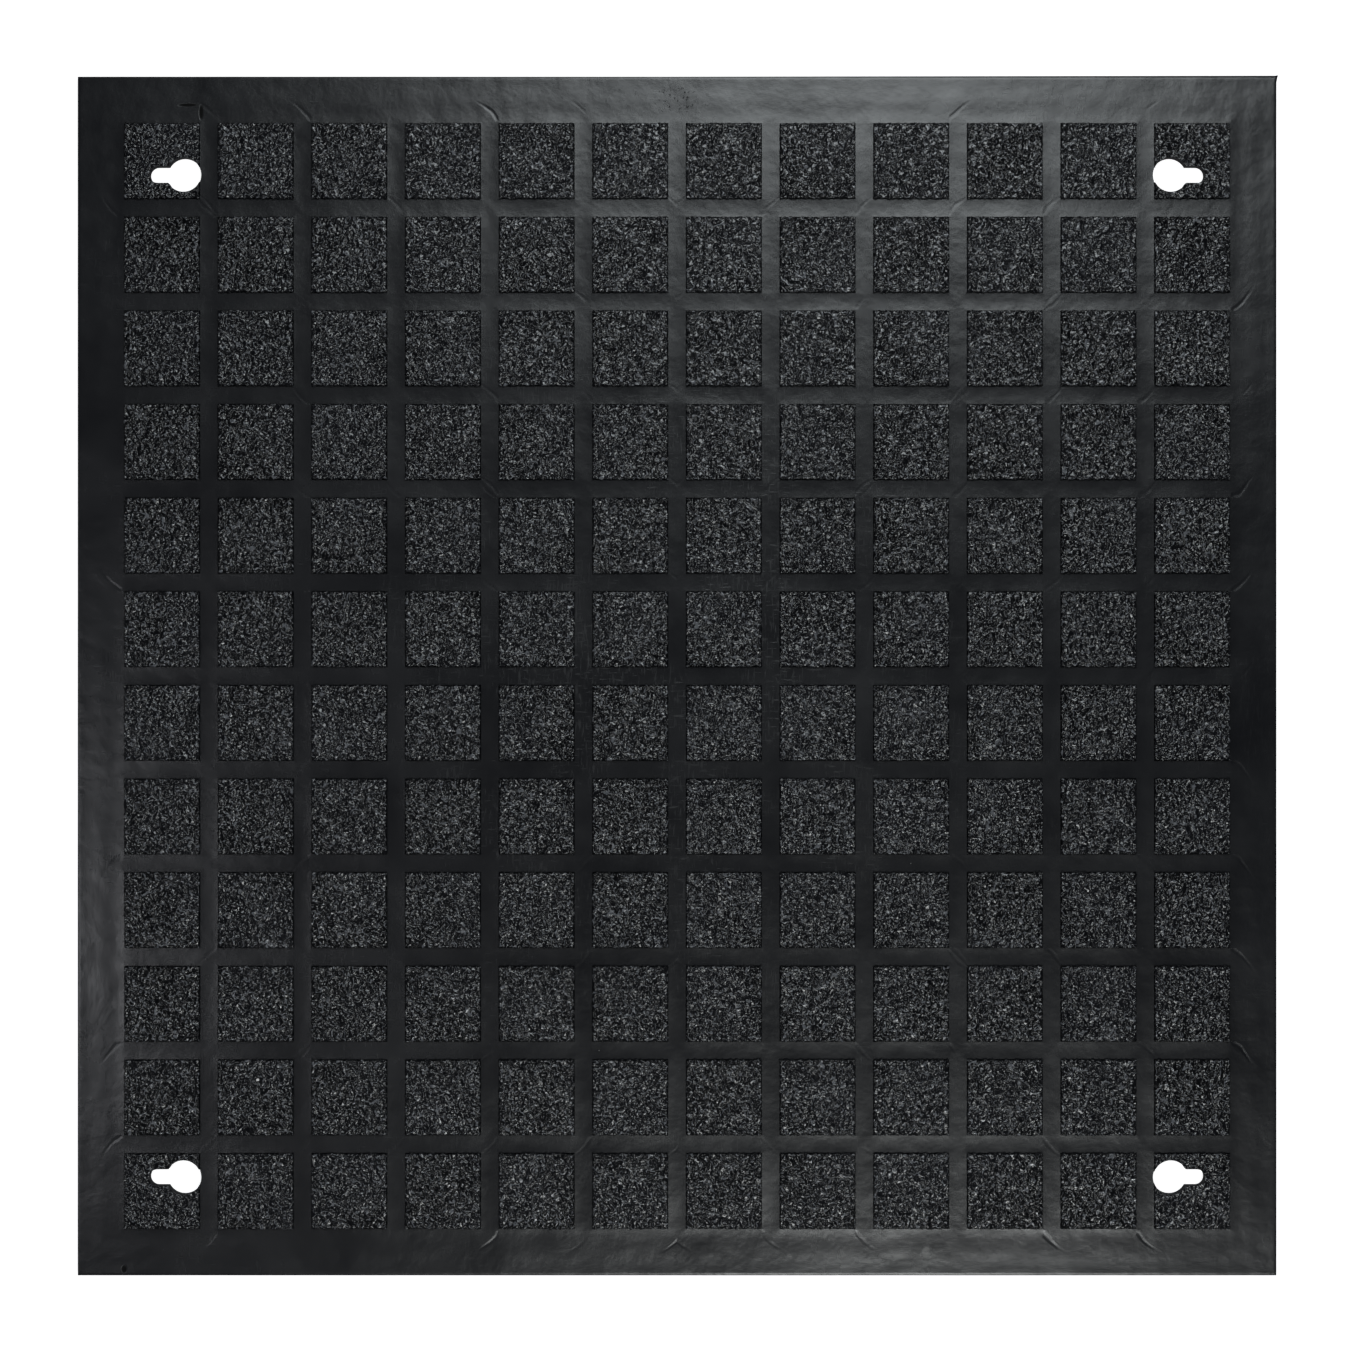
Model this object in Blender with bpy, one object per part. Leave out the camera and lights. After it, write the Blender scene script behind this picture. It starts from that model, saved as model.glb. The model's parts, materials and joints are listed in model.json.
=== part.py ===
"""Square rubber door mat with roughcast scraper pads and a keyhole in each corner.

The mat is a laminate of three rubber mouldings:
  backing_sheet       the smooth sheet that lies on the floor, with a shallow groove for each runner
  pad_strip_01 to _12 a row of raised scraper pads joined underneath by one thin runner
  channel_lattice     the smooth top sheet, with a window round every pad, whose bars are the channels

Origin: centre of the underside. +Z is up, +Y is away from the person standing at the mat, and the
keyhole slots point outwards along X.
"""

import math

import bmesh
import bpy
from mathutils import Matrix, Vector

# Driving dimensions, in metres.
PADS_PER_SIDE = 12
PAD_SIDE = 0.0286  # a pad's top face
PAD_DRAFT = 0.00015  # how far each side of a pad leans out towards its foot
CHANNEL_WIDTH = 0.0071  # between the top faces of two pads
MARGIN_WIDTH = 0.01795  # plain border outside the outermost pads
BACKING_THICK = 0.0024
LATTICE_THICK = 0.00185
PAD_RISE = 0.0018  # pad top above the lattice
SEAM = 0.0003  # the bond line round every laid-in piece

RUNNER_WIDTH = 0.0050
RUNNER_THICK = 0.0007
RUNNER_INSET = 0.0018  # from the runner to the outward side of the pads above it
KEEL_INSET = 0.0030  # from a pad's side to the end of the keel under it
KEEL_GRIP = 0.0006  # how far a keel reaches up into its pad

KEYHOLE_ROUND_RADIUS = 0.0066
KEYHOLE_SLOT_WIDTH = 0.0064
KEYHOLE_TRAVEL = 0.0099  # from the round hole's centre to the slot's end centre
KEYHOLE_REACH = 0.0006  # how far the round hole breaks out of its pad, along X
KEYHOLE_INSET = 0.00245  # from the round hole to the pad's inward side, along Y
KEYHOLE_STEPS = 40  # segments in a full circle

RUBBER_BLACK = (0.022, 0.023, 0.025, 1.0)
ROUGHCAST_BLACK = (0.030, 0.031, 0.033, 1.0)

# Sizes that follow from them.
PITCH = PAD_SIDE + CHANNEL_WIDTH
FIELD_SIDE = (PADS_PER_SIDE - 1) * PITCH + PAD_SIDE
MAT_SIDE = FIELD_SIDE + 2 * MARGIN_WIDTH
PAD_FOOT_SIDE = PAD_SIDE + 2 * PAD_DRAFT
WINDOW_SIDE = PAD_FOOT_SIDE + 2 * SEAM
GROOVE_WIDTH = RUNNER_WIDTH + 2 * SEAM
GROOVE_DEPTH = RUNNER_THICK + SEAM
LATTICE_BOTTOM = BACKING_THICK + SEAM
LATTICE_TOP = LATTICE_BOTTOM + LATTICE_THICK
PAD_TOP = LATTICE_TOP + PAD_RISE
RUNNER_TOP = BACKING_THICK
RUNNER_BOTTOM = RUNNER_TOP - RUNNER_THICK
RUNNER_LENGTH = FIELD_SIDE - 2 * KEEL_INSET
KEEL_LENGTH = PAD_SIDE - 2 * KEEL_INSET
CUT_MARGIN = 0.002  # how far a cutter runs past the faces it opens


def clear_scene():
    for obj in list(bpy.data.objects):
        bpy.data.objects.remove(obj, do_unlink=True)


def new_collection(name):
    collection = bpy.data.collections.new(name)
    bpy.context.scene.collection.children.link(collection)
    return collection


def rubber(name, colour, roughness):
    """A Principled material for one of the mat's compounds."""
    material = bpy.data.materials.new(name)
    material.use_nodes = True
    shader = material.node_tree.nodes["Principled BSDF"]
    shader.inputs["Base Color"].default_value = colour
    shader.inputs["Roughness"].default_value = roughness
    shader.inputs["Metallic"].default_value = 0.0
    material.diffuse_color = colour
    return material


def pad_places():
    """The coordinate of each pad's centre along one side of the mat, in order."""
    first = -FIELD_SIDE / 2 + PAD_SIDE / 2
    return [first + i * PITCH for i in range(PADS_PER_SIDE)]


def box_into(mesh, low, high, foot_growth=0.0):
    """Adds a box between two corners; its lower face is larger by foot_growth on each side."""
    low, high = Vector(low), Vector(high)
    centre, size = (low + high) / 2, high - low
    corners = bmesh.ops.create_cube(mesh, size=1.0)["verts"]
    bmesh.ops.scale(mesh, vec=size, verts=corners)
    bmesh.ops.translate(mesh, vec=centre, verts=corners)
    for corner in corners:
        if foot_growth and corner.co.z < centre.z:
            corner.co.x += math.copysign(foot_growth, corner.co.x - centre.x)
            corner.co.y += math.copysign(foot_growth, corner.co.y - centre.y)


def mesh_object(name, mesh, collection, material=None):
    """Makes an object of a bmesh and frees the bmesh."""
    data = bpy.data.meshes.new(name)
    mesh.to_mesh(data)
    mesh.free()
    obj = bpy.data.objects.new(name, data)
    collection.objects.link(obj)
    if material:
        data.materials.append(material)
    return obj


def as_helper(obj):
    """Keeps an object out of renders: it only cuts or joins."""
    obj.hide_render = True
    obj.display_type = "WIRE"
    return obj


def flat_solids(name, outlines, low, high, collection):
    """A mesh object that holds one upright prism for each closed outline, from low to high."""
    curve = bpy.data.curves.new(name, "CURVE")
    curve.dimensions = "2D"
    curve.fill_mode = "BOTH"
    curve.extrude = (high - low) / 2
    for outline in outlines:
        spline = curve.splines.new("POLY")
        spline.points.add(len(outline) - 1)
        for point, (x, y) in zip(spline.points, outline):
            point.co = (x, y, 0.0, 1.0)
        spline.use_cyclic_u = True
    drawn = bpy.data.objects.new(name + "_outline", curve)
    collection.objects.link(drawn)
    graph = bpy.context.evaluated_depsgraph_get()
    data = bpy.data.meshes.new_from_object(drawn.evaluated_get(graph))
    bpy.data.objects.remove(drawn, do_unlink=True)
    mesh = bmesh.new()
    mesh.from_mesh(data)
    bpy.data.meshes.remove(data)
    bmesh.ops.remove_doubles(mesh, verts=mesh.verts, dist=1e-6)
    bmesh.ops.recalc_face_normals(mesh, faces=mesh.faces)
    bmesh.ops.transform(mesh, matrix=Matrix.Translation((0, 0, (low + high) / 2)), verts=mesh.verts)
    return mesh_object(name, mesh, collection)


def boolean(obj, other, operation):
    modifier = obj.modifiers.new(other.name, "BOOLEAN")
    modifier.operation = operation
    modifier.solver = "EXACT"
    modifier.object = other


def keyhole_outline(side_x, side_y):
    """The outline of the keyhole in one corner, with its slot pointing outwards along X."""
    corner_pad = pad_places()[-1]
    round_x = corner_pad - PAD_SIDE / 2 - KEYHOLE_REACH + KEYHOLE_ROUND_RADIUS
    centre_y = corner_pad - PAD_SIDE / 2 + KEYHOLE_INSET + KEYHOLE_ROUND_RADIUS
    slot_radius = KEYHOLE_SLOT_WIDTH / 2
    mouth = math.asin(slot_radius / KEYHOLE_ROUND_RADIUS)
    round_sweep = 2 * math.pi - 2 * mouth
    round_steps = round(KEYHOLE_STEPS * round_sweep / (2 * math.pi))
    slot_steps = KEYHOLE_STEPS // 2
    points = []
    for step in range(round_steps + 1):
        turn = mouth + round_sweep * step / round_steps
        points.append((round_x + KEYHOLE_ROUND_RADIUS * math.cos(turn), KEYHOLE_ROUND_RADIUS * math.sin(turn)))
    for step in range(slot_steps + 1):
        turn = -math.pi / 2 + math.pi * step / slot_steps
        points.append((round_x + KEYHOLE_TRAVEL + slot_radius * math.cos(turn), slot_radius * math.sin(turn)))
    return [(side_x * x, side_y * (centre_y + y)) for x, y in points]


def make_keyhole_cutter(helpers):
    outlines = [keyhole_outline(side_x, side_y) for side_x in (-1, 1) for side_y in (-1, 1)]
    return as_helper(flat_solids("keyhole_cutter", outlines, -CUT_MARGIN, PAD_TOP + CUT_MARGIN, helpers))


def runner_place(row_y):
    """The Y of a row's runner, near the side of its pads that faces away from the middle of the mat."""
    return row_y + math.copysign(PAD_SIDE / 2 - RUNNER_INSET - RUNNER_WIDTH / 2, row_y)


def make_backing_sheet(parts, helpers, keyholes, material):
    mesh = bmesh.new()
    half = MAT_SIDE / 2
    box_into(mesh, (-half, -half, 0), (half, half, BACKING_THICK))
    backing = mesh_object("backing_sheet", mesh, parts, material)

    grooves = bmesh.new()
    half_length = RUNNER_LENGTH / 2 + SEAM
    for row_y in pad_places():
        y = runner_place(row_y)
        box_into(
            grooves,
            (-half_length, y - GROOVE_WIDTH / 2, BACKING_THICK - GROOVE_DEPTH),
            (half_length, y + GROOVE_WIDTH / 2, BACKING_THICK + CUT_MARGIN),
        )
    boolean(backing, as_helper(mesh_object("groove_cutter", grooves, helpers)), "DIFFERENCE")
    boolean(backing, keyholes, "DIFFERENCE")


def make_channel_lattice(parts, helpers, keyholes, material):
    mesh = bmesh.new()
    half = MAT_SIDE / 2
    box_into(mesh, (-half, -half, LATTICE_BOTTOM), (half, half, LATTICE_TOP))
    lattice = mesh_object("channel_lattice", mesh, parts, material)

    windows = bmesh.new()
    reach = WINDOW_SIDE / 2
    for x in pad_places():
        for y in pad_places():
            box_into(
                windows,
                (x - reach, y - reach, LATTICE_BOTTOM - CUT_MARGIN),
                (x + reach, y + reach, LATTICE_TOP + CUT_MARGIN),
            )
    boolean(lattice, as_helper(mesh_object("window_cutter", windows, helpers)), "DIFFERENCE")
    boolean(lattice, keyholes, "DIFFERENCE")


def comb_outline():
    """The runner and its keels seen along Y, as (x, z) points."""
    keel_top = LATTICE_BOTTOM + KEEL_GRIP
    half = RUNNER_LENGTH / 2
    points = [(half, RUNNER_BOTTOM), (-half, RUNNER_BOTTOM)]
    for x in pad_places():
        left, right = x - KEEL_LENGTH / 2, x + KEEL_LENGTH / 2
        points += [(left, RUNNER_TOP), (left, keel_top), (right, keel_top), (right, RUNNER_TOP)]
    # The first and last keel stand at the runner's ends, where its top has no corner.
    return points[:2] + points[3:-1]


def make_runner_comb(number, y, helpers):
    """The runner of one strip, with a keel under every pad, standing at its place."""
    comb = flat_solids(f"runner_{number:02d}", [comb_outline()], -RUNNER_WIDTH / 2, RUNNER_WIDTH / 2, helpers)
    # The outline is drawn flat, so it is stood up: its second axis becomes Z.
    comb.data.transform(Matrix.Translation((0, y, 0)) @ Matrix.Rotation(math.pi / 2, 4, "X"))
    return as_helper(comb)


def make_pad_strip(number, row_y, parts, helpers, keyholes, material):
    pads = bmesh.new()
    reach = PAD_SIDE / 2
    for x in pad_places():
        box_into(
            pads,
            (x - reach, row_y - reach, LATTICE_BOTTOM),
            (x + reach, row_y + reach, PAD_TOP),
            foot_growth=PAD_DRAFT,
        )
    strip = mesh_object(f"pad_strip_{number:02d}", pads, parts, material)
    boolean(strip, make_runner_comb(number, runner_place(row_y), helpers), "UNION")
    if number in (1, PADS_PER_SIDE):
        boolean(strip, keyholes, "DIFFERENCE")


def main():
    clear_scene()
    parts = new_collection("door_mat")
    helpers = new_collection("cutters")
    smooth = rubber("smooth_rubber", RUBBER_BLACK, 0.45)
    roughcast = rubber("roughcast_rubber", ROUGHCAST_BLACK, 0.6)
    keyholes = make_keyhole_cutter(helpers)
    make_backing_sheet(parts, helpers, keyholes, smooth)
    make_channel_lattice(parts, helpers, keyholes, smooth)
    # Strip 1 lies nearest the doorway, at the far (+Y) side.
    for number, row_y in enumerate(reversed(pad_places()), start=1):
        make_pad_strip(number, row_y, parts, helpers, keyholes, roughcast)


main()
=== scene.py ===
"""Looks of a square rubber door mat: roughcast scraper pads in a smooth sheet, with four keyholes."""

import json
import math

import bmesh
import bpy
import numpy as np
from bpy.props import FloatProperty, FloatVectorProperty, IntProperty, PointerProperty
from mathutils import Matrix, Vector


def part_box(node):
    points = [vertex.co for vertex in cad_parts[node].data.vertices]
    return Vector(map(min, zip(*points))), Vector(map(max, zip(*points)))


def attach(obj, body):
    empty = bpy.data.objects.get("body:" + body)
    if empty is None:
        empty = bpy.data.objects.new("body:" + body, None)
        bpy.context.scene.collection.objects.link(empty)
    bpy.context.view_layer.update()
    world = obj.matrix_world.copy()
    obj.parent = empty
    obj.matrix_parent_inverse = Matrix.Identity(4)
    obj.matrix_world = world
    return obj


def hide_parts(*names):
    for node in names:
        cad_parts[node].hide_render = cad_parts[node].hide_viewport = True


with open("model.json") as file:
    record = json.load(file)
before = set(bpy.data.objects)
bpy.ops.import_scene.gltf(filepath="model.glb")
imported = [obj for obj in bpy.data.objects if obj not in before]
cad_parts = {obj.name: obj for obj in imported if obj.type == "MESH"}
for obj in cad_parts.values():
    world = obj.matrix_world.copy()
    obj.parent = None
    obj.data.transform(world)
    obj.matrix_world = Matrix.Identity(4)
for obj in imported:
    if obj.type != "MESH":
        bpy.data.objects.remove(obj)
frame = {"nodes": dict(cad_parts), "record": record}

bl_info = {
    "name": "Roughcast door mat",
    "version": (1, 0, 0),
    "blender": (4, 5, 0),
    "location": "View3D > Sidebar > Door Mat",
    "description": "Builds the rubber of a door mat round its packed frame, and a pale stage for it",
    "category": "Object",
}

# Places read from the frame, in metres.
STRIPS = sorted(node for node in frame["nodes"] if node.startswith("pad_strip_"))
PADS = len(STRIPS)
STRIP_LOW, STRIP_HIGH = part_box(STRIPS[0])
LATTICE_LOW, LATTICE_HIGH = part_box("channel_lattice")
BACKING_LOW, BACKING_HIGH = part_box("backing_sheet")
PAD_FOOT = STRIP_HIGH.y - STRIP_LOW.y
PITCH = (STRIP_HIGH.x - STRIP_LOW.x - PAD_FOOT) / (PADS - 1)
PAD_CENTRES = [(i - (PADS - 1) / 2) * PITCH for i in range(PADS)]
PAD_TOP = STRIP_HIGH.z
PAD_BOTTOM = LATTICE_LOW.z
MAT_HALF = LATTICE_HIGH.x
OPENINGS = frame["record"]["physics"]["openings"]

MM = 0.001
BAKE_MAP = "OFBake"
SAME_LEVEL = 0.001 * MM  # two heights closer than this are one level
UPRIGHT = 0.1  # a face stands upright where its normal's Z is closer to 0 than this


class MatSizes(bpy.types.PropertyGroup):
    """Sizes of the mat's moulded detail."""

    pad_cells: IntProperty(
        name="Pad cells", description="Faces along each side of a pad's top", default=72, min=16
    )
    pad_draft: FloatProperty(
        name="Pad draft", description="How far a pad's side leans in towards its top",
        default=0.15 * MM, unit="LENGTH", precision=5,
    )
    pad_round: FloatProperty(
        name="Pad edge round", description="Radius of the worn edge round a pad's top",
        default=0.35 * MM, unit="LENGTH", precision=5,
    )
    grain_length: FloatProperty(
        name="Grain length", description="Typical distance between two grains of the roughcast",
        default=2.2 * MM, unit="LENGTH", precision=5,
    )
    grain_depth: FloatProperty(
        name="Grain depth", description="Height from the grooves to the crests of the roughcast",
        default=0.24 * MM, unit="LENGTH", precision=5,
    )
    edge_jag: FloatProperty(
        name="Edge jag", description="How far the grains push a pad's edge in and out",
        default=0.24 * MM, unit="LENGTH", precision=5,
    )
    seam: FloatProperty(
        name="Seam", description="Gap between a pad's foot and the sheet round it",
        default=0.02 * MM, unit="LENGTH", precision=5,
    )
    channel_sag: FloatProperty(
        name="Channel sag", description="How deep the channels dip between the pads",
        default=0.045 * MM, unit="LENGTH", precision=5,
    )
    ripple: FloatProperty(
        name="Ripple", description="Height of the slow waves in the sheet",
        default=0.035 * MM, unit="LENGTH", precision=5,
    )
    margin_bead: FloatProperty(
        name="Margin bead", description="Height of the shallow beads that run along the margins",
        default=0.012 * MM, unit="LENGTH", precision=6,
    )
    bead_length: FloatProperty(
        name="Bead spacing", description="From one bead of the margin to the next",
        default=9.0 * MM, unit="LENGTH", precision=5,
    )
    flash_tip: FloatProperty(
        name="Flash tip", description="How far the moulding flash sticks out at one far corner",
        default=0.6 * MM, unit="LENGTH", precision=5,
    )
    flash_reach: FloatProperty(
        name="Flash reach", description="How much of that corner the flash takes in",
        default=2.0 * MM, unit="LENGTH", precision=5,
    )
    rim_round: FloatProperty(
        name="Rim round", description="Radius along the mat's outer edges",
        default=0.35 * MM, unit="LENGTH", precision=5,
    )
    keyhole_round: FloatProperty(
        name="Keyhole round", description="Radius of the keyhole's round part",
        default=6.6 * MM, unit="LENGTH", precision=5,
    )
    keyhole_slot: FloatProperty(
        name="Keyhole slot", description="Half the width of the keyhole's slot",
        default=3.2 * MM, unit="LENGTH", precision=5,
    )
    keyhole_travel: FloatProperty(
        name="Keyhole travel", description="From the round part's centre to the slot's end centre",
        default=9.9 * MM, unit="LENGTH", precision=5,
    )
    seed: IntProperty(name="Seed", description="Starts the random grains and ripples", default=11)


class MatFinish(bpy.types.PropertyGroup):
    """Colours and gloss of the rubber."""

    rubber: FloatVectorProperty(
        name="Rubber", description="Clean black of the rubber", subtype="COLOR",
        default=(0.0075, 0.0080, 0.0105), min=0.0, max=1.0,
    )
    bloom: FloatVectorProperty(
        name="Bloom", description="Greyer black where wax has bloomed out of the rubber",
        subtype="COLOR", default=(0.0135, 0.0142, 0.0170), min=0.0, max=1.0,
    )
    groove: FloatVectorProperty(
        name="Groove", description="Deepest black, in the grooves of the roughcast",
        subtype="COLOR", default=(0.0022, 0.0024, 0.0032), min=0.0, max=1.0,
    )
    # Painted highlight: this light grey is laid along the crests' lines and stands in for their
    # glints.
    painted_crest_glint: FloatVectorProperty(
        name="Crest", description="Dusty grey of the roughcast's crests", subtype="COLOR",
        default=(0.155, 0.162, 0.178), min=0.0, max=1.0,
    )
    scuff: FloatVectorProperty(
        name="Scuff", description="Dull grey of a scuffed or smeared place", subtype="COLOR",
        default=(0.035, 0.037, 0.040), min=0.0, max=1.0,
    )
    dust: FloatVectorProperty(
        name="Dust", description="Colour of the dust specks", subtype="COLOR",
        default=(0.30, 0.30, 0.29), min=0.0, max=1.0,
    )
    smooth_roughness: FloatProperty(
        name="Sheet roughness", description="Roughness of the smooth sheet", subtype="FACTOR",
        default=0.25, min=0.0, max=1.0,
    )
    worm_size: FloatProperty(
        name="Crest spacing", description="Scale of the worm-like crests of the roughcast",
        default=1.8 * MM, unit="LENGTH", precision=5,
    )
    worm_height: FloatProperty(
        name="Crest height", description="Scale of the crests' height",
        default=1.30 * MM, unit="LENGTH", precision=5,
    )
    worm_round: FloatProperty(
        name="Crest round", description="How blunt the crests are, as a share of their height",
        default=0.03, min=0.0, max=0.2, precision=3,
    )
    cast_roughness: FloatProperty(
        name="Roughcast roughness", description="Roughness of the pads' grains",
        subtype="FACTOR", default=0.17, min=0.0, max=1.0,
    )


class StageSetup(bpy.types.PropertyGroup):
    """The floor, lights and camera."""

    camera_height: FloatProperty(
        name="Camera height", description="From the floor to the camera",
        default=1.5, unit="LENGTH",
    )
    view_width: FloatProperty(
        name="View width", description="How much of the floor the picture takes in",
        default=0.5142, unit="LENGTH", precision=4,
    )
    far_light: FloatProperty(
        name="Far light", description="Power of the soft light beyond the mat", default=5.9,
        unit="POWER",
    )
    near_light: FloatProperty(
        name="Near light", description="Power of the soft light on the near side",
        default=4.7, unit="POWER",
    )
    side_light: FloatProperty(
        name="Side light", description="Power of the small light at the left",
        default=0.90, unit="POWER",
    )
    room_light: FloatProperty(
        name="Room light", description="Strength of the even light from overhead",
        default=0.02, min=0.0,
    )
    wall_light: FloatProperty(
        name="Wall light", description="Strength of the even light from the room's walls",
        default=0.10, min=0.0,
    )


# ---------------------------------------------------------------- numbers shared by the pieces


def band_noise(rng, count, step, wavelength, spread):
    """Random heights on a square of points, one unit high, whose waves are near one length."""
    across = np.fft.fftfreq(count, step)
    along = np.fft.rfftfreq(count, step)
    waves = np.hypot(across[:, None], along[None, :]) * wavelength
    smallest = 1e-6  # keeps the logarithm of the flat wave finite
    kept = np.exp(-((np.log(np.maximum(waves, smallest)) / spread) ** 2))
    noise = rng.standard_normal((count, count))
    heights = np.fft.irfft2(np.fft.rfft2(noise) * kept, (count, count))
    return heights / heights.std()


def sampled(field, step, x, y):
    """The field's height at points given in metres from the mat's centre."""
    count = field.shape[0]
    u = np.clip(x / step + count / 2, 0, count - 2)
    v = np.clip(y / step + count / 2, 0, count - 2)
    i, j = u.astype(int), v.astype(int)
    u, v = u - i, v - j
    low = field[j, i] * (1 - u) + field[j, i + 1] * u
    high = field[j + 1, i] * (1 - u) + field[j + 1, i + 1] * u
    return low * (1 - v) + high * v


def places(data):
    """A mesh's vertex places as an array."""
    found = np.empty(len(data.vertices) * 3)
    data.vertices.foreach_get("co", found)
    return found.reshape(-1, 3)


def move_to(data, found):
    """Puts a mesh's vertices where an array says."""
    data.vertices.foreach_set("co", found.ravel())
    data.update()


def eased(low, high, cells):
    """Lines from low to high, closest together at both ends."""
    turn = np.linspace(0, math.pi, cells + 1)
    return low + (high - low) * (1 - np.cos(turn)) / 2


def grown_verts(grown):
    """The vertices of what an extrusion made."""
    return [item for item in grown if isinstance(item, bmesh.types.BMVert)]


def grown_rim(grown):
    """The open edges of what an extrusion made."""
    edges = [item for item in grown if isinstance(item, bmesh.types.BMEdge)]
    return [edge for edge in edges if edge.is_boundary]


# ---------------------------------------------------------------- making and finishing a piece


def as_piece(name, mesh, material, slot, *nodes):
    """Makes an object of a bmesh, riding on the mat and standing for its CAD nodes."""
    data = bpy.data.meshes.new(name)
    mesh.to_mesh(data)
    mesh.free()
    piece = bpy.data.objects.new(name, data)
    bpy.context.scene.collection.objects.link(piece)
    data.materials.append(material)
    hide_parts(*nodes)
    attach(piece, "root")
    return piece


def shade(piece, sharp_degrees):
    """Shades a piece smooth, but for edges that turn more than this."""
    piece.data.shade_smooth()
    piece.data.set_sharp_from_angle(angle=math.radians(sharp_degrees))


def keyhole_centres():
    """The centre of each keyhole's round part, from the frame's openings."""
    boxes = [o["box_m"] for o in OPENINGS if o["name"].startswith("keyhole_head")]
    return [(Vector(low) + Vector(high)) / 2 for low, high in boxes]


def keyhole_cutter(sizes, centres):
    """A closed prism through the mat in the shape of each keyhole; slots point outwards along X."""
    mesh = bmesh.new()
    half, radius = sizes.keyhole_slot, sizes.keyhole_round
    round_steps, slot_steps = 40, 20
    meet = math.asin(half / radius)
    low, high = BACKING_LOW.z - MM, PAD_TOP + MM
    for centre in centres:
        side = math.copysign(1, centre.x)
        hub = Vector((centre.x, centre.y, low))
        tip = hub + Vector((side * sizes.keyhole_travel, 0, 0))
        round_arm = Vector((side * radius * math.cos(meet), radius * math.sin(meet), 0))
        slot_arm = Vector((0, -half, 0))
        arcs = [
            (hub, round_arm, math.tau - 2 * meet, round_steps),
            (tip, slot_arm, math.pi, slot_steps),
        ]
        outline = []
        for middle, arm, angle, steps in arcs:
            first = bmesh.ops.create_vert(mesh, co=middle + arm)["vert"]
            spun = bmesh.ops.spin(
                mesh, geom=first, cent=middle, axis=(0, 0, side), dvec=(0, 0, 0),
                angle=angle, steps=steps, use_merge=False, use_duplicate=False,
            )
            outline.append((first[0], spun["geom_last"][0]))
        (round_first, round_last), (slot_first, slot_last) = outline
        mesh.edges.new((round_last, slot_first))
        mesh.edges.new((slot_last, round_first))
        loose = [edge for edge in mesh.edges if edge.is_wire]
        face = bmesh.ops.contextual_create(mesh, geom=loose)["faces"]
        grown = bmesh.ops.extrude_face_region(mesh, geom=face, use_keep_orig=True)["geom"]
        bmesh.ops.translate(mesh, vec=(0, 0, high - low), verts=grown_verts(grown))
    bmesh.ops.recalc_face_normals(mesh, faces=mesh.faces)
    return mesh


def on_keyhole(gap, sizes):
    """Whether a place, given from a keyhole's round centre, lies on the keyhole's outline."""
    slack = 0.05 * MM
    past_slot = max(abs(gap.x) - sizes.keyhole_travel, 0)
    from_slot = math.hypot(past_slot, gap.y)
    on_round = abs(gap.length - sizes.keyhole_round) < slack
    return on_round or abs(from_slot - sizes.keyhole_slot) < slack


def cut_keyholes(piece, sizes, centres, finish):
    """Cuts the keyholes out of a piece, and gives the cut walls their finish."""
    mesh = keyhole_cutter(sizes, centres)
    data = bpy.data.meshes.new("keyhole_cutter")
    mesh.to_mesh(data)
    mesh.free()
    cutter = bpy.data.objects.new("keyhole_cutter", data)
    bpy.context.scene.collection.objects.link(cutter)
    cut = piece.modifiers.new("Keyholes", "BOOLEAN")
    cut.object = cutter
    cut.operation = "DIFFERENCE"
    cut.solver = "EXACT"
    seen = piece.evaluated_get(bpy.context.evaluated_depsgraph_get())
    result = bpy.data.meshes.new_from_object(seen)
    piece.modifiers.clear()
    old, name = piece.data, piece.data.name
    piece.data = result
    bpy.data.meshes.remove(old)
    result.name = name
    bpy.data.objects.remove(cutter, do_unlink=True)
    bpy.data.meshes.remove(data)
    finish_cuts(result, sizes, centres, finish)


def finish_cuts(data, sizes, centres, finish):
    """Gives the keyholes' walls and the mat's trimmed outline the matte finish of cut rubber."""
    data.materials.append(bpy.data.materials.get(CUT_NAME) or cut_rubber(finish))
    trimmed = MAT_HALF - 0.25 * MM
    for face in data.polygons:
        gaps = [face.center.xy - centre.xy for centre in centres]
        upright = abs(face.normal.z) < UPRIGHT and face.area > 0
        outside = max(abs(face.center.x), abs(face.center.y)) > trimmed
        on_outline = outside and face.normal.z > -UPRIGHT
        on_wall = upright and any(on_keyhole(gap, sizes) for gap in gaps)
        face.material_index = int(on_outline or on_wall)


def face_values(data):
    """For each face corner, its vertex place and its face's normal."""
    vertex = np.empty(len(data.loops), np.int32)
    data.loops.foreach_get("vertex_index", vertex)
    totals = np.empty(len(data.polygons), np.int32)
    data.polygons.foreach_get("loop_total", totals)
    normals = np.empty(len(data.polygons) * 3)
    data.polygons.foreach_get("normal", normals)
    return places(data)[vertex], np.repeat(normals.reshape(-1, 3), totals, axis=0)


WALL_SPLAY = 0.4  # how much of a wall's height its strip on the flat map gets
MAP_CORNER = 0.985  # hidden faces share the corner of the map beyond this
MAP_TILT = 0.3  # a face counts as a wall, not a top or an underside, below this Z of its normal
TILE_ROOM = 4 * MM  # spare width round what each tile of the map shows


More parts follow.
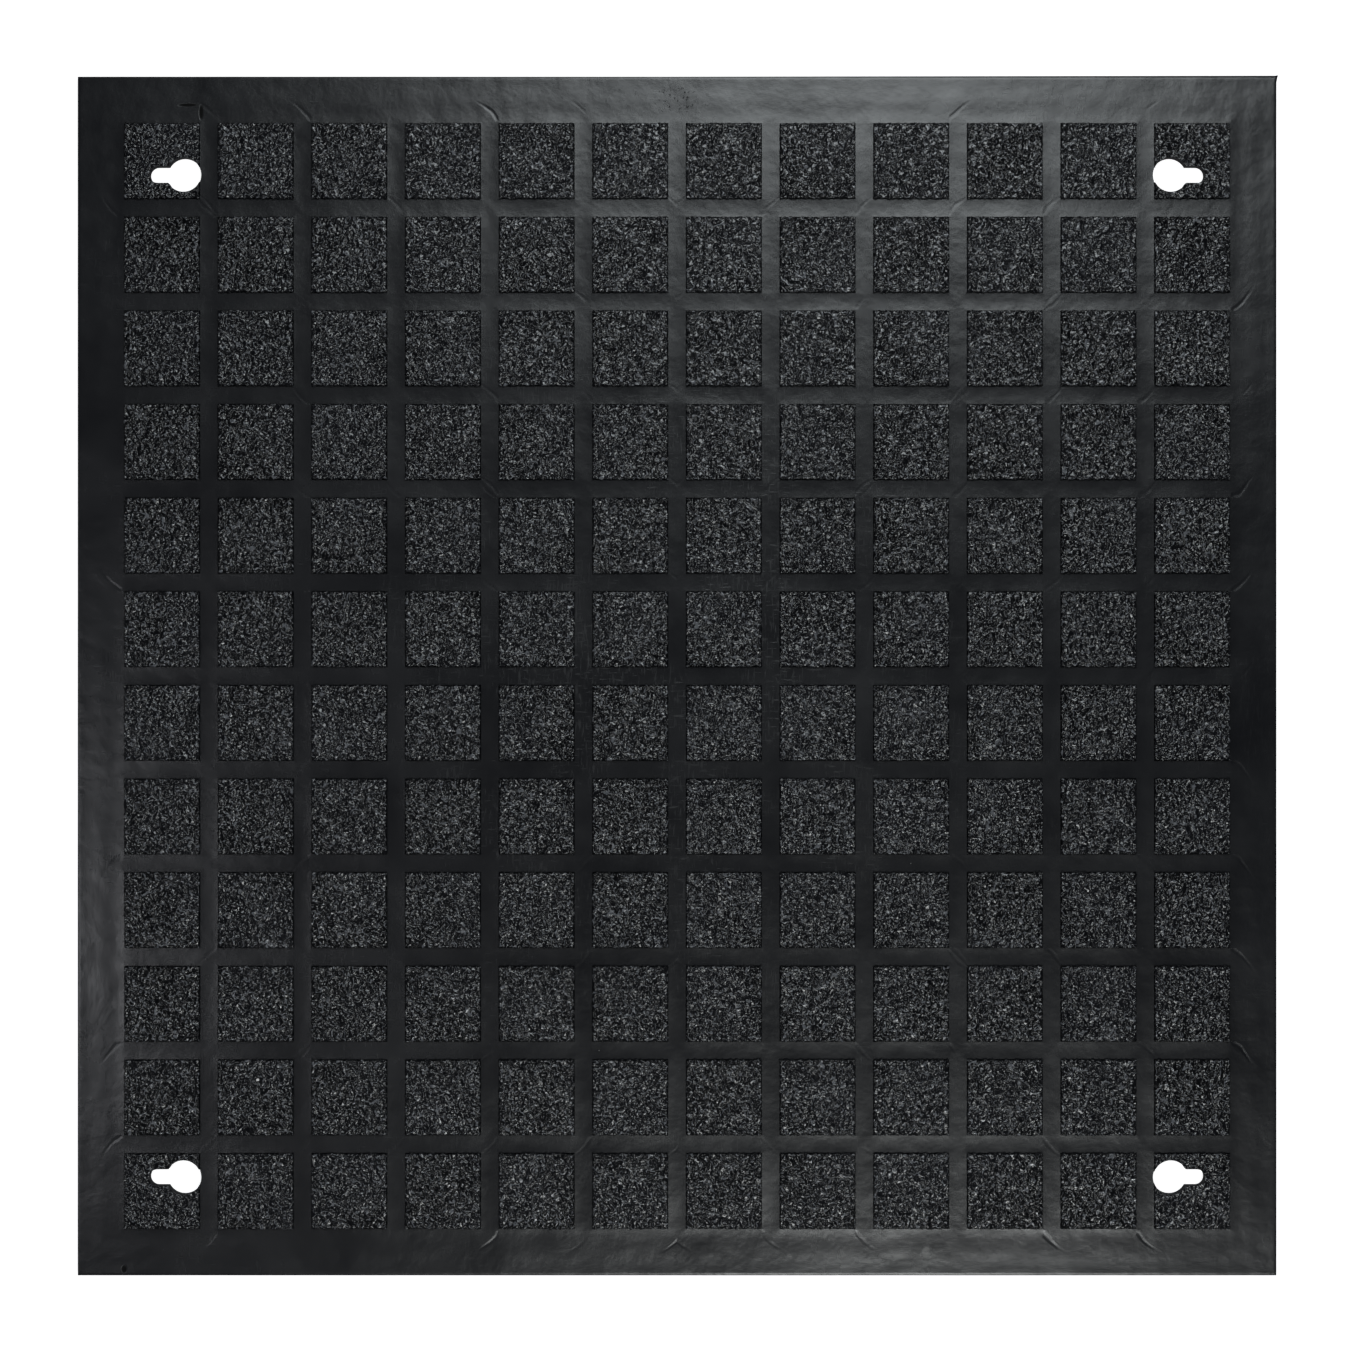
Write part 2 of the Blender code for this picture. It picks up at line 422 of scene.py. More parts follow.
def flat_map(piece, top, tile, columns, rows, tile_of):
    """A UV map seen from above, cut into tiles, with the walls splayed and the undersides parked."""
    data = piece.data
    at, normal = face_values(data)
    drop = (top - at[:, 2:3]) * WALL_SPLAY
    walls = np.abs(normal[:, 2:3]) < MAP_TILT
    flat = at[:, :2] + np.where(walls, normal[:, :2] * drop, 0)
    column, row, middle = tile_of(at)
    u = (column + 0.5 + (flat[:, 0] - middle[0]) / tile) / columns
    v = (row + 0.5 + (flat[:, 1] - middle[1]) / tile) / rows
    under = normal[:, 2] < -MAP_TILT
    u, v = u * MAP_CORNER, v * MAP_CORNER
    u[under] = MAP_CORNER + (1 - MAP_CORNER) * u[under]
    v[under] = MAP_CORNER + (1 - MAP_CORNER) * v[under]
    layer = data.uv_layers.get(BAKE_MAP) or data.uv_layers.new(name=BAKE_MAP)
    layer.uv.foreach_set("vector", np.stack([u, v], 1).astype(np.float32).ravel())


# ---------------------------------------------------------------- shader maths


class Field:
    """A shader socket that takes part in arithmetic; each operation adds its Math node."""

    def __init__(self, shading, socket):
        self.shading, self.socket = shading, socket

    def maths(self, operation, *values):
        sockets = dict(enumerate(values))
        return self.shading.node("ShaderNodeMath", {"operation": operation}, sockets)

    def __add__(self, other):
        return self.maths("ADD", self, other)

    __radd__ = __add__

    def __sub__(self, other):
        return self.maths("SUBTRACT", self, other)

    def __rsub__(self, other):
        return self.maths("SUBTRACT", other, self)

    def __mul__(self, other):
        return self.maths("MULTIPLY", self, other)

    __rmul__ = __mul__

    def size(self):
        """The value without its sign."""
        return self.maths("ABSOLUTE", self)

    def root(self):
        return self.maths("SQRT", self)

    def least(self, other):
        return self.maths("MINIMUM", self, other)

    def most(self, other):
        return self.maths("MAXIMUM", self, other)

    def wrapped(self, period):
        """What is left of the value after whole periods are taken off."""
        return self.maths("FLOORED_MODULO", self, period)

    def above(self, low, high):
        """0 below low, 1 above high, and a smooth step between."""
        sockets = {"Value": self, "From Min": low, "From Max": high}
        return self.shading.node("ShaderNodeMapRange", {"interpolation_type": "SMOOTHSTEP"}, sockets)

    def below(self, low, high):
        """1 below low, 0 above high, and a smooth step between."""
        return 1 - self.above(low, high)

    def other_output(self, name):
        """Another output of the same node."""
        return Field(self.shading, self.socket.node.outputs[name])


class Shading:
    """A material or a world under construction: one method adds any node."""

    def __init__(self, made, shader):
        made.use_nodes = True
        self.made, self.tree = made, made.node_tree
        self.shader = self.tree.nodes[shader]

    def connect(self, socket, value):
        """Links a field to a socket, or sets the socket to a number, a vector or a colour."""
        if isinstance(value, Field):
            self.tree.links.new(value.socket, socket)
        elif socket.type == "RGBA":
            socket.default_value = (*value, 1.0)
        else:
            socket.default_value = value

    def node(self, kind, settings, sockets, output=0):
        """Adds a node: its settings first, then its sockets by name or by number."""
        made = self.tree.nodes.new(kind)
        for name, value in settings.items():
            setattr(made, name, value)
        for key, value in sockets.items():
            self.connect(made.inputs[key], value)
        return Field(self, made.outputs[output])

    def shine(self, sockets):
        """Sets or links the shader's own sockets."""
        for name, value in sockets.items():
            self.connect(self.shader.inputs[name], value)


class Rubber(Shading):
    """A rubber under construction, with the patterns that the mat's rubbers are made of."""

    def __init__(self, name):
        super().__init__(bpy.data.materials.new(name), "Principled BSDF")
        self.place = self.node("ShaderNodeTexCoord", {}, {}, output="Object")

    def along(self, axis):
        """The place along one axis, in metres."""
        return self.node("ShaderNodeSeparateXYZ", {}, {0: self.place}, output=axis)

    def noise(self, size, detail=2.0, roughness=0.5, stretch=(1, 1, 1), twist=0.0, move=0.0,
              distortion=0.0):
        """Noise whose features are about this size, in metres."""
        turned = {
            "Vector": self.place, "Location": (move, move, 0), "Rotation": (0, 0, twist),
            "Scale": stretch,
        }
        place = self.node("ShaderNodeMapping", {}, turned)
        sockets = {
            "Vector": place, "Scale": 1 / size, "Detail": detail, "Roughness": roughness,
            "Distortion": distortion,
        }
        return self.node("ShaderNodeTexNoise", {}, sockets)

    def bands(self, direction, per_metre, distortion):
        """Parallel soft stripes across one axis."""
        sockets = {"Vector": self.place, "Scale": per_metre, "Distortion": distortion}
        return self.node("ShaderNodeTexWave", {"bands_direction": direction}, sockets)

    def specks(self, spacing, size, share):
        """Round dust specks: a share of the cells of a fine scatter holds one each."""
        solid_core, cut_off = 0.6, 0.01
        near = self.node("ShaderNodeTexVoronoi", {}, {"Vector": self.place, "Scale": 1 / spacing})
        lucky = self.node("ShaderNodeSeparateColor", {}, {0: near.other_output("Color")})
        spots = near.below(solid_core * size / spacing, size / spacing)
        return spots * lucky.above(1 - share, 1 - share + cut_off)

    def patch(self, x, y, width, height, soft=0.5):
        """1 inside an upright ellipse at a place on the mat, fading to 0 at its outline."""
        dx = (self.along("X") - x) * (2 / width)
        dy = (self.along("Y") - y) * (2 / height)
        return (dx * dx + dy * dy).root().below(1 - soft, 1)

    def marks(self, spots):
        """The strongest of several patches, each with its softness and its strength."""
        x, y, width, height, soft, strength = spots[0]
        found = self.patch(x, y, width, height, soft) * strength
        for x, y, width, height, soft, strength in spots[1:]:
            found = found.most(self.patch(x, y, width, height, soft) * strength)
        return found

    def mixed(self, factor, one, other):
        """One colour where the factor is 0, the other where it is 1."""
        sockets = {"Factor": factor, 6: one, 7: other}
        return self.node("ShaderNodeMix", {"data_type": "RGBA"}, sockets, output=2)

    def bump(self, height, distance, before=None):
        """Tilts the normal by a height from 0 to 1 times the distance, in metres."""
        sockets = {"Height": height, "Distance": distance, "Strength": 1.0}
        if before:
            sockets["Normal"] = before
        return self.node("ShaderNodeBump", {}, sockets)


CUT_NAME = "cut_rubber"
MARK_BLACK = (0.001, 0.001, 0.001)

# Marks on the sheet, in metres from the mat's middle: x, y, width, height, softness and strength.
SMEARS = (
    (0.0735, -0.2233, 0.012, 0.0020, 0.8, 1.0),
    (0.0835, -0.2213, 0.016, 0.0036, 0.9, 0.8),
    (0.0950, -0.2196, 0.005, 0.0065, 0.9, 1.0),
)
SMUDGE = ((0.099, 0.2165, 0.009, 0.006, 0.5, 1.0),)
PITTED = ((0.001, 0.2195, 0.024, 0.014, 0.9, 1.0),)
MOULD_MARK = (
    (-0.1865, 0.2178, 0.0090, 0.0016, 0.5, 1.0),
    (-0.1815, 0.2150, 0.0020, 0.0070, 0.5, 1.0),
)
NICK = ((-0.2109, -0.2262, 0.0026, 0.0036, 0.5, 1.0),)


def flow_creases(rubber):
    """Curved flow creases that run outwards from the pads' corners, fainter inside the channels."""
    half_width, strays = 1.5 * MM, 2.5 * MM
    lean, bend = 0.3, 75  # a crease's sideways run, for each metre and each square metre outwards
    full_reach, last_reach = 4.5 * MM, 9.5 * MM
    channel_strength = 0.45
    across, up = rubber.along("X").size(), rubber.along("Y").size()
    wander = (rubber.noise(0.006, detail=1, move=9.0) - 0.5) * strays
    first_edge = PAD_FOOT / 2 - PITCH / 2
    outward = (across.most(up) - first_edge).wrapped(PITCH)
    past_edge = (across.least(up) - first_edge).wrapped(PITCH)
    curve = outward * lean + outward * outward * bend
    from_line = (past_edge - curve + wander).size()
    line = from_line.below(0.0, half_width) * outward.above(0.2 * MM, 1.5 * MM)
    picked = rubber.noise(0.035, detail=0, move=4.0).above(0.40, 0.55)
    last_corner = PAD_CENTRES[-1] + PAD_FOOT / 2
    beside_pads = across.least(up).below(last_corner - 6 * MM, last_corner - 3 * MM)
    in_margin = across.most(up).above(last_corner - 1 * MM, last_corner)
    strength = channel_strength + (1 - channel_strength) * in_margin
    return line * outward.below(full_reach, last_reach) * picked * beside_pads * strength


def sheet_rubber(finish):
    """Smooth moulded rubber: cloudy gloss, scuffs, flow creases, a few marks and a little dust."""
    rubber = Rubber("smooth_sheet_rubber")
    clouds = rubber.noise(0.045, detail=3)
    haze = rubber.noise(0.011, detail=4, move=3.0)
    upright = rubber.noise(0.0009, detail=2, stretch=(1, 0.16, 1), twist=0.25, move=1.0)
    leaning = rubber.noise(0.0009, detail=2, stretch=(1, 0.12, 1), twist=-0.7, move=5.0)
    level = rubber.noise(0.0009, detail=2, stretch=(0.16, 1, 1), twist=0.2, move=8.0)
    streaks = upright.most(leaning).most(level).above(0.56, 0.78)
    near_centre = rubber.patch(0.0, 0.01, 0.34, 0.34, soft=1.0)
    worn = rubber.noise(0.03, detail=1, move=7.0).above(0.42, 0.62) * (near_centre + 0.25)
    scuffs = streaks * worn
    swell = rubber.noise(0.006, detail=2, move=2.0)
    grain = rubber.noise(0.00045, detail=2)
    creases = flow_creases(rubber)
    wisps = rubber.noise(0.0016, stretch=(0.4, 1, 1), twist=-0.25).above(0.20, 0.60)
    smears = rubber.marks(SMEARS) * wisps
    smudge = rubber.marks(SMUDGE)
    pits = rubber.marks(PITTED) * rubber.noise(0.0011).above(0.62, 0.69)
    mark = rubber.marks(MOULD_MARK + NICK)
    dust = rubber.specks(0.013, 0.00022, 0.35)
    colour = rubber.mixed(clouds.above(0.35, 0.7), finish.rubber, finish.bloom)
    colour = rubber.mixed(scuffs * 0.5 + smudge * 0.7, colour, finish.scuff)
    colour = rubber.mixed(smears * 0.5, colour, finish.dust)
    colour = rubber.mixed(mark, colour, MARK_BLACK)
    colour = rubber.mixed(dust, colour, finish.dust)
    normal = rubber.bump(swell, 0.10 * MM)
    normal = rubber.bump(scuffs, 0.015 * MM, normal)
    normal = rubber.bump(creases, -0.05 * MM, normal)
    normal = rubber.bump(pits + mark, -0.10 * MM, normal)
    normal = rubber.bump(grain, 0.006 * MM, normal)
    gloss = finish.smooth_roughness + (clouds - 0.5) * 0.10 + (haze - 0.5) * 0.10
    gloss = gloss + scuffs * 0.10 + smears * 0.08 + mark * 0.75
    rubber.shine({"Base Color": colour, "Roughness": gloss, "Normal": normal, "IOR": 1.5})
    return rubber.made


def cast_rubber(finish):
    """Roughcast rubber: worm-like glossy crests with fine grit between them, and painted highlights
    along the crests.
    """
    rubber = Rubber("roughcast_pad_rubber")
    clouds = rubber.noise(0.030, detail=3)
    crests = rubber.noise(finish.worm_size, detail=0.5, roughness=0.4, distortion=0.5)
    from_crest = crests - 0.5
    worms = 1 - (from_crest * from_crest + finish.worm_round**2).root()
    grit = rubber.noise(0.0003, detail=2)
    dust = rubber.specks(0.012, 0.00022, 0.30)
    # Painted highlight: short grey strokes along the crest lines stand in for the crests' glints.
    painted_glint_strokes = from_crest.size().below(0.020, 0.055) * rubber.noise(0.0017, move=3.0).above(0.49, 0.57)
    colour = rubber.mixed(clouds.above(0.3, 0.7), finish.groove, finish.rubber)
    colour = rubber.mixed(painted_glint_strokes, colour, finish.painted_crest_glint)
    colour = rubber.mixed(dust, colour, finish.dust)
    normal = rubber.bump(worms, finish.worm_height)
    normal = rubber.bump(grit, 0.005 * MM, normal)
    gloss = finish.cast_roughness + (grit - 0.5) * 0.10 + (clouds - 0.5) * 0.06
    rubber.shine({"Base Color": colour, "Roughness": gloss, "Normal": normal, "IOR": 1.5})
    return rubber.made


def cut_rubber(finish):
    """The cut walls of the keyholes and the outline: matte, with fine tool marks."""
    rubber = Rubber(CUT_NAME)
    marks = rubber.noise(0.0004, detail=3, stretch=(1, 1, 0.2))
    colour = rubber.mixed(marks, finish.rubber, finish.bloom)
    normal = rubber.bump(marks, 0.08 * MM)
    rubber.shine({
        "Base Color": colour, "Roughness": 0.9, "Specular IOR Level": 0.04, "Normal": normal,
    })
    return rubber.made


def under_rubber(finish):
    """The sheet against the floor: dull, with the faint print of the press cloth."""
    rubber = Rubber("backing_rubber")
    clouds = rubber.noise(0.040, detail=3)
    threads_per_metre, waver = 190.0, 0.6
    weave = rubber.bands("X", threads_per_metre, waver) * rubber.bands("Y", threads_per_metre, waver)
    grain = rubber.noise(0.0006, detail=2)
    colour = rubber.mixed(clouds.above(0.3, 0.7), finish.rubber, finish.bloom)
    normal = rubber.bump(weave, 0.08 * MM)
    normal = rubber.bump(grain, 0.02 * MM, normal)
    gloss = 0.46 + (clouds - 0.5) * 0.16
    rubber.shine({"Base Color": colour, "Roughness": gloss, "Normal": normal})
    return rubber.made


# ---------------------------------------------------------------- the pads


PAD_BROW = 0.9 * MM  # the depth of the ring that ends the ragged top of a pad's wall
TILES_ACROSS, TILES_UP = 4, 3  # how a row's pads are laid out on the flat map


def pad_blank(sizes):
    """One pad before it is cast: a fine grid for its top, drafted walls and a closed foot."""
    mesh = bmesh.new()
    cells = sizes.pad_cells
    half = PAD_FOOT / 2 - sizes.pad_draft
    edge_cells, edge_width = 3, 0.6 * MM
    bmesh.ops.create_grid(mesh, x_segments=cells, y_segments=cells, size=1.0)
    known = [0, edge_cells, cells - edge_cells, cells]
    lines = np.interp(range(cells + 1), known, [-half, edge_width - half, half - edge_width, half])
    for vert in mesh.verts:
        column, row = (round((value + 1) / 2 * cells) for value in vert.co.xy)
        vert.co = (lines[column], lines[row], PAD_TOP)
    rim = [edge for edge in mesh.edges if edge.is_boundary]
    for depth, width in ((PAD_BROW, half), (PAD_TOP - PAD_BOTTOM, PAD_FOOT / 2)):
        grown = bmesh.ops.extrude_edge_only(mesh, edges=rim)["geom"]
        for vert in grown_verts(grown):
            vert.co.z = PAD_TOP - depth
            vert.co.xy *= width / max(abs(vert.co.x), abs(vert.co.y))
        rim = grown_rim(grown)
    bmesh.ops.contextual_create(mesh, geom=rim)
    bmesh.ops.recalc_face_normals(mesh, faces=mesh.faces)
    blank = bpy.data.meshes.new("pad_blank")
    mesh.to_mesh(blank)
    mesh.free()
    return blank


def row_mesh(blank, y):
    """Twelve pads side by side at one distance from the mat's middle."""
    mesh = bmesh.new()
    for x in PAD_CENTRES:
        before = len(mesh.verts)
        mesh.from_mesh(blank)
        mesh.verts.ensure_lookup_table()
        bmesh.ops.translate(mesh, vec=(x, y, 0), verts=mesh.verts[before:])
    return mesh


def nearest_pad(x):
    """The index of the pad column or row that each value lies in."""
    return np.clip(np.round(x / PITCH + (PADS - 1) / 2), 0, PADS - 1)


def roughcast_fields(sizes):
    """Random heights of the pads' grains, two fields of edge jags, and their points' spacing."""
    rng = np.random.default_rng(sizes.seed)
    step, count = 0.2 * MM, 2160
    coarse = band_noise(rng, count, step, wavelength=sizes.grain_length, spread=0.42)
    fine = band_noise(rng, count, step, wavelength=sizes.grain_length * 0.62, spread=0.25)
    fine_share, highest = 0.3, 2.4
    grains = np.clip((coarse + fine_share * fine) / highest, -1, 1)
    pushes = [band_noise(rng, count, step, sizes.grain_length, spread=0.4) for _ in range(2)]
    return grains, [np.tanh(push) for push in pushes], step


def cast_pads(data, sizes, y, grains, jags, step):
    """Presses the roughcast into a row's pads, and rounds and roughens their edges."""
    ragged_width = 1.2 * MM
    at = places(data)
    half = PAD_FOOT / 2 - sizes.pad_draft
    middle = (nearest_pad(at[:, 0]) - (PADS - 1) / 2) * PITCH
    dx, dy = at[:, 0] - middle, at[:, 1] - y
    inset = np.maximum(half - np.maximum(np.abs(dx), np.abs(dy)), 0)
    on_top = at[:, 2] > PAD_TOP - SAME_LEVEL
    upper = at[:, 2] > PAD_TOP - PAD_BROW - SAME_LEVEL
    lean = np.clip(1 - inset / sizes.pad_round, 0, 1)
    drop = sizes.pad_round * (1 - np.sqrt(1 - lean**2))
    height = sampled(grains, step, at[:, 0], at[:, 1])
    press = sizes.grain_depth * (1 - height) / 2
    moved = at.copy()
    moved[:, 2] -= np.where(on_top, drop + press * (1 - 0.5 * lean), 0)
    push = np.clip(1 - inset / ragged_width, 0, 1) * sizes.edge_jag * upper
    for axis, field in enumerate(jags):
        moved[:, axis] += push * sampled(field, step, at[:, 0], at[:, 1])
    move_to(data, moved)


def pad_tile(at):
    """One tile for each pad of a row."""
    pad = nearest_pad(at[:, 0])
    middle_x = (pad - (PADS - 1) / 2) * PITCH
    middle_y = (nearest_pad(at[:, 1]) - (PADS - 1) / 2) * PITCH
    return pad % TILES_ACROSS, pad // TILES_ACROSS, (middle_x, middle_y)


class DOORMAT_OT_pads(bpy.types.Operator):
    """Build the rows of roughcast pads."""

    bl_idname = "doormat.pads"
    bl_label = "Pads"

    def execute(self, context):
        sizes = context.scene.doormat_sizes
        grains, jags, step = roughcast_fields(sizes)
        finish = context.scene.doormat_finish
        material = cast_rubber(finish)
        blank = pad_blank(sizes)
        for strip in STRIPS:
            low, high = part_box(strip)
            y = (low.y + high.y) / 2
            name = strip.replace("pad_strip", "pad_row")
            piece = as_piece(name, row_mesh(blank, y), material, "roughcast_rubber", strip)
            cast_pads(piece.data, sizes, y, grains, jags, step)
            keyholes = [centre for centre in keyhole_centres() if abs(centre.y - y) < PITCH / 2]
            if keyholes:
                cut_keyholes(piece, sizes, keyholes, finish)
            shade(piece, sharp_degrees=65)
            flat_map(piece, PAD_TOP, PAD_FOOT + TILE_ROOM, TILES_ACROSS, TILES_UP, pad_tile)
        bpy.data.meshes.remove(blank)
        return {"FINISHED"}


# ---------------------------------------------------------------- the smooth sheet between them


def sheet_lines(window_half):
    """Where the sheet's grid lines cross one axis, and which of its cells lie in a window."""
    margin_cells, window_cells, channel_cells = 18, 12, 12
    lines = list(eased(-MAT_HALF, PAD_CENTRES[0] - window_half, margin_cells))
    inside = [False] * margin_cells
    for i, centre in enumerate(PAD_CENTRES):
        lines += list(np.linspace(centre - window_half, centre + window_half, window_cells + 1))[1:]
        inside += [True] * window_cells
        last = i == PADS - 1
        stop = MAT_HALF if last else PAD_CENTRES[i + 1] - window_half
        cells = margin_cells if last else channel_cells
        lines += list(eased(centre + window_half, stop, cells))[1:]
        inside += [False] * cells
    return lines, inside


def sheet_mesh(sizes):
    """The sheet with a window round every pad, flat so far, closed underneath."""
    window_half = PAD_FOOT / 2 + sizes.seam
    lines, inside = sheet_lines(window_half)
    cells = len(inside)
    mesh = bmesh.new()
    bmesh.ops.create_grid(mesh, x_segments=cells, y_segments=cells, size=1.0)
    holes = []
    for face in mesh.faces:
        middle = face.calc_center_median()
        column, row = (int((value + 1) / 2 * cells) for value in middle.xy)
        if inside[column] and inside[row]:
            holes.append(face)
    bmesh.ops.delete(mesh, geom=holes, context="FACES")
    for vert in mesh.verts:
        column, row = (round((value + 1) / 2 * cells) for value in vert.co.xy)
        vert.co = (lines[column], lines[row], LATTICE_HIGH.z)
    rim = [edge for edge in mesh.edges if edge.is_boundary]
    grown = bmesh.ops.extrude_edge_only(mesh, edges=rim)["geom"]
    for vert in grown_verts(grown):
        vert.co.z = LATTICE_LOW.z
    bmesh.ops.triangle_fill(mesh, use_beauty=False, use_dissolve=False, edges=grown_rim(grown))
    bmesh.ops.recalc_face_normals(mesh, faces=mesh.faces)
    return mesh


def shape_sheet(data, sizes, rng):
    """Dips the channels, ripples the sheet, rounds its rim and draws out one corner's flash."""
    at = places(data)
    top = at[:, 2] > LATTICE_HIGH.z - SAME_LEVEL
    window_half = PAD_FOOT / 2 + sizes.seam
    away = []
    for axis in (0, 1):
        middle = (nearest_pad(at[:, axis]) - (PADS - 1) / 2) * PITCH
        away.append(np.maximum(np.abs(at[:, axis] - middle) - window_half, 0))
    from_pad = np.hypot(*away)
    channel_half = (PITCH - 2 * window_half) / 2
    across = np.clip(from_pad / channel_half, 0, 1)
    dip = sizes.channel_sag * (1 - (1 - across) ** 2)
    step, count = 1.0 * MM, 480
    slow = band_noise(rng, count, step, wavelength=0.055, spread=0.45)
    quick = band_noise(rng, count, step, wavelength=0.020, spread=0.4)
    quick_share = 0.35
    wave = sizes.ripple * sampled(slow + quick_share * quick, step, at[:, 0], at[:, 1])
    rim = MAT_HALF - np.maximum(np.abs(at[:, 0]), np.abs(at[:, 1]))
    lean = np.clip(1 - rim / sizes.rim_round, 0, 1)
    drop = sizes.rim_round * (1 - np.sqrt(1 - lean**2))
    beaded = rim < 2 * sizes.bead_length
    beads = sizes.margin_bead * np.cos(rim / sizes.bead_length * math.tau) * beaded
    at[:, 2] += np.where(top, wave + beads - dip - drop, 0)
    from_corner = np.hypot(at[:, 0] - MAT_HALF, at[:, 1] - MAT_HALF)
    pull = np.clip(1 - from_corner / sizes.flash_reach, 0, 1)
    at[:, :2] += sizes.flash_tip * pull[:, None]
    move_to(data, at)


def whole_tile(at):
    """A single tile: the sheet as it is."""
    return 0, 0, (0, 0)


class DOORMAT_OT_sheet(bpy.types.Operator):
    """Build the smooth sheet whose bars are the channels."""

    bl_idname = "doormat.sheet"
    bl_label = "Channels and margins"

    def execute(self, context):
        sizes, finish = context.scene.doormat_sizes, context.scene.doormat_finish
        mesh, material = sheet_mesh(sizes), sheet_rubber(finish)
        piece = as_piece("channel_surface", mesh, material, "smooth_rubber", "channel_lattice")
        shape_sheet(piece.data, sizes, np.random.default_rng(sizes.seed + 1))
        cut_keyholes(piece, sizes, keyhole_centres(), finish)
        shade(piece, sharp_degrees=50)
        flat_map(piece, LATTICE_HIGH.z, 2 * MAT_HALF + TILE_ROOM, 1, 1, whole_tile)
        return {"FINISHED"}


class DOORMAT_OT_backing(bpy.types.Operator):
    """Build the sheet that lies on the floor."""

    bl_idname = "doormat.backing"
    bl_label = "Backing sheet"

    def execute(self, context):
        sizes, finish = context.scene.doormat_sizes, context.scene.doormat_finish
        mesh = bmesh.new()
        cube = bmesh.ops.create_cube(mesh, size=1.0)["verts"]
        size, centre = BACKING_HIGH - BACKING_LOW, (BACKING_HIGH + BACKING_LOW) / 2
        bmesh.ops.scale(mesh, vec=size, verts=cube)
        bmesh.ops.translate(mesh, vec=centre, verts=cube)
        bmesh.ops.bevel(
            mesh, geom=mesh.edges, offset=sizes.rim_round, offset_type="OFFSET", segments=3,
            profile=0.5, affect="EDGES", material=-1, clamp_overlap=True,
        )
        piece = as_piece("backing", mesh, under_rubber(finish), "smooth_rubber", "backing_sheet")
        cut_keyholes(piece, sizes, keyhole_centres(), finish)
        shade(piece, sharp_degrees=40)
        return {"FINISHED"}


# ---------------------------------------------------------------- the stage


FLOOR_RADIUS = 20.0
FLOOR_DROP = 0.1 * MM  # keeps the floor clear of the mat's underside
OVERHEAD = (0.60, 0.76)  # Z of the directions between which the walls' light gives way to overhead


def pale_floor():
    """A round pale floor, bright enough to read as a plain white ground."""
    mesh = bmesh.new()
    bmesh.ops.create_circle(mesh, cap_ends=True, segments=64, radius=FLOOR_RADIUS)
    data = bpy.data.meshes.new("floor")
    mesh.to_mesh(data)
    mesh.free()
    floor = bpy.data.objects.new("floor", data)
    bpy.context.scene.collection.objects.link(floor)
    floor.location.z = -FLOOR_DROP
    paint = Shading(bpy.data.materials.new("pale_floor"), "Principled BSDF")
    paint.shine({
        "Base Color": (0.86, 0.86, 0.86), "Roughness": 0.9, "Emission Color": (1, 1, 1),
        "Emission Strength": 0.9,
    })
    data.materials.append(paint.made)


def soft_light(name, place, width, power, colour):
    """A square soft light that faces the mat's middle."""
    lamp = bpy.data.lights.new(name, "AREA")
    lamp.shape = "SQUARE"
    lamp.size = width
    lamp.energy = power
    lamp.color = colour
    light = bpy.data.objects.new(name, lamp)
    bpy.context.scene.collection.objects.link(light)
    light.location = place
    light.rotation_euler = Vector(place).to_track_quat("Z", "Y").to_euler()


def room_glow(setup):
    """Even light from the room: stronger from the walls than from overhead."""
    world = bpy.context.scene.world or bpy.data.worlds.new("room")
    bpy.context.scene.world = world
    room = Shading(world, "Background")
    direction = room.node("ShaderNodeTexCoord", {}, {}, output="Generated")
    upward = room.node("ShaderNodeSeparateXYZ", {}, {0: direction}, output="Z")
    sockets = {
        "Value": upward, "From Min": OVERHEAD[0], "From Max": OVERHEAD[1],
        "To Min": setup.wall_light, "To Max": setup.room_light,
    }
    strength = room.node("ShaderNodeMapRange", {"interpolation_type": "SMOOTHSTEP"}, sockets)
    room.shine({"Color": (0.90, 0.93, 1.0), "Strength": strength})


